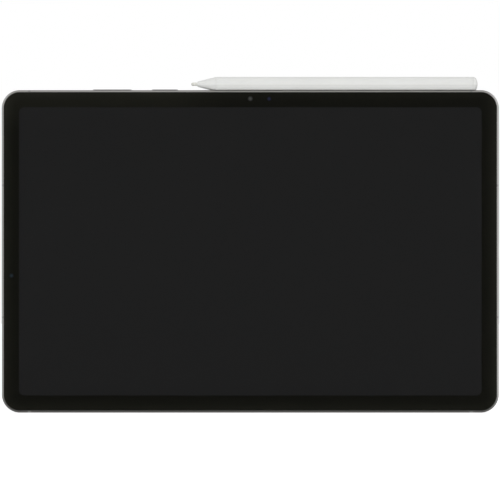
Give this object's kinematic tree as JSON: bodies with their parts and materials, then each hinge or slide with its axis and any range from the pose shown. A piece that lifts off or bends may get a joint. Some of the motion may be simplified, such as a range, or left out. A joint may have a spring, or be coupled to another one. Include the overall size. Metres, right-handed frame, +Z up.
{
  "type": "tablet computer",
  "caption": "Slim tablet computer in a metal unibody with a glass front, volume and power keys, and a white stylus docked along its top edge.",
  "frame": {"origin": "middle of the bottom edge, midway through the thickness, with the tablet upright in landscape", "axes": "+X to the right along the long side seen from the screen side, +Z up the short side, -Y out of the screen and +Y out of the back"},
  "size_m": [0.254, 0.0074, 0.1716],
  "materials": {
    "frame_aluminium": "bead-blasted and anodised, satin grey",
    "key_aluminium": "bead-blasted and anodised, satin grey",
    "antenna_plastic": "moulded, matched to the frame",
    "cover_glass": "polished, with a black printed border on its back",
    "camera_glass": "polished",
    "flash_plastic": "clear ribbed lens",
    "camera_ring": "turned, with a polished edge",
    "display_glass": "dark when off",
    "backlight_plastic": "white light guide in a thin tray",
    "adhesive": "black foam tape",
    "sensor_plastic": "black, with dark coated optics",
    "speaker_plastic": "moulded black",
    "inner_steel": "stamped",
    "board_laminate": "solder mask over glass laminate",
    "battery_pouch": "foil pouch with dark film",
    "copper": "copper under clear film",
    "stylus_plastic": "white, satin",
    "nib_plastic": "off-white, worn matt"
  },
  "bodies": {
    "tablet": {"antenna_split_bottom_left": "antenna_plastic", "antenna_split_bottom_right": "antenna_plastic", "antenna_split_left_lower": "antenna_plastic", "antenna_split_left_upper": "antenna_plastic", "antenna_split_right_lower": "antenna_plastic", "antenna_split_right_upper": "antenna_plastic", "antenna_split_top_left": "antenna_plastic", "antenna_split_top_right": "antenna_plastic", "backlight": "backlight_plastic", "battery_cell_left": "battery_pouch", "battery_cell_right": "battery_pouch", "board_link": "copper", "board_screw_1": "inner_steel", "board_screw_2": "inner_steel", "card_socket": "inner_steel", "cover_glass": "cover_glass", "display_adhesive": "adhesive", "display_panel": "display_glass", "dock_coil": "copper", "dock_magnet": "inner_steel", "flash_lens": "flash_plastic", "front_camera": "sensor_plastic", "housing": "frame_aluminium", "light_sensor": "sensor_plastic", "main_board": "board_laminate", "microphone": "inner_steel", "mid_plate": "inner_steel", "port_board": "board_laminate", "power_switch": "inner_steel", "processor_shield": "inner_steel", "rear_camera_module": "sensor_plastic", "rear_camera_ring": "camera_ring", "rear_camera_window": "camera_glass", "side_sensor": "sensor_plastic", "speaker_left_lower": "speaker_plastic", "speaker_left_lower_mesh": "inner_steel", "speaker_left_upper": "speaker_plastic", "speaker_left_upper_mesh": "inner_steel", "speaker_right_lower": "speaker_plastic", "speaker_right_lower_mesh": "inner_steel", "speaker_right_upper": "speaker_plastic", "speaker_right_upper_mesh": "inner_steel", "usb_port_shell": "inner_steel", "usb_port_tongue": "speaker_plastic", "volume_switches": "inner_steel"},
    "power_button": {"power_button": "key_aluminium"},
    "volume_rocker": {"volume_rocker": "key_aluminium"},
    "card_tray": {"card_tray": "frame_aluminium"},
    "rear_camera_lens": {"rear_camera_lens": "sensor_plastic"},
    "stylus": {"stylus_barrel": "stylus_plastic", "stylus_cone": "stylus_plastic", "stylus_cap": "stylus_plastic", "nib_sensor": "inner_steel", "stylus_board": "board_laminate", "stylus_coil": "copper", "stylus_battery": "battery_pouch", "stylus_magnet": "inner_steel"},
    "stylus_nib": {"stylus_nib": "nib_plastic"}
  },
  "joints": [
    {"name": "power_press", "type": "slide", "parent": "tablet", "child": "power_button", "axis": [0, 0, -1], "range_m": [0, 0.00025], "stiffness_N_per_m": 3000},
    {"name": "volume_tilt", "type": "hinge", "parent": "tablet", "child": "volume_rocker", "pos_m": [-0.0705, 0, 0.16195], "axis": [0, 1, 0], "range_deg": [-1.15, 1.15], "stiffness_Nm_per_rad": 0.3},
    {"name": "tray_slide", "type": "slide", "parent": "tablet", "child": "card_tray", "axis": [1, 0, 0], "range_m": [0, 0.019]},
    {"name": "lens_focus", "type": "slide", "parent": "tablet", "child": "rear_camera_lens", "axis": [0, 1, 0], "range_m": [0, 0.00025], "stiffness_N_per_m": 50},
    {"name": "stylus_lift", "type": "slide", "parent": "tablet", "child": "stylus", "axis": [0, 0, 1], "range_m": [0, 0.03]},
    {"name": "nib_press", "type": "slide", "parent": "stylus", "child": "stylus_nib", "axis": [1, 0, 0], "range_m": [0, 0.0003], "stiffness_N_per_m": 2500}
  ]
}
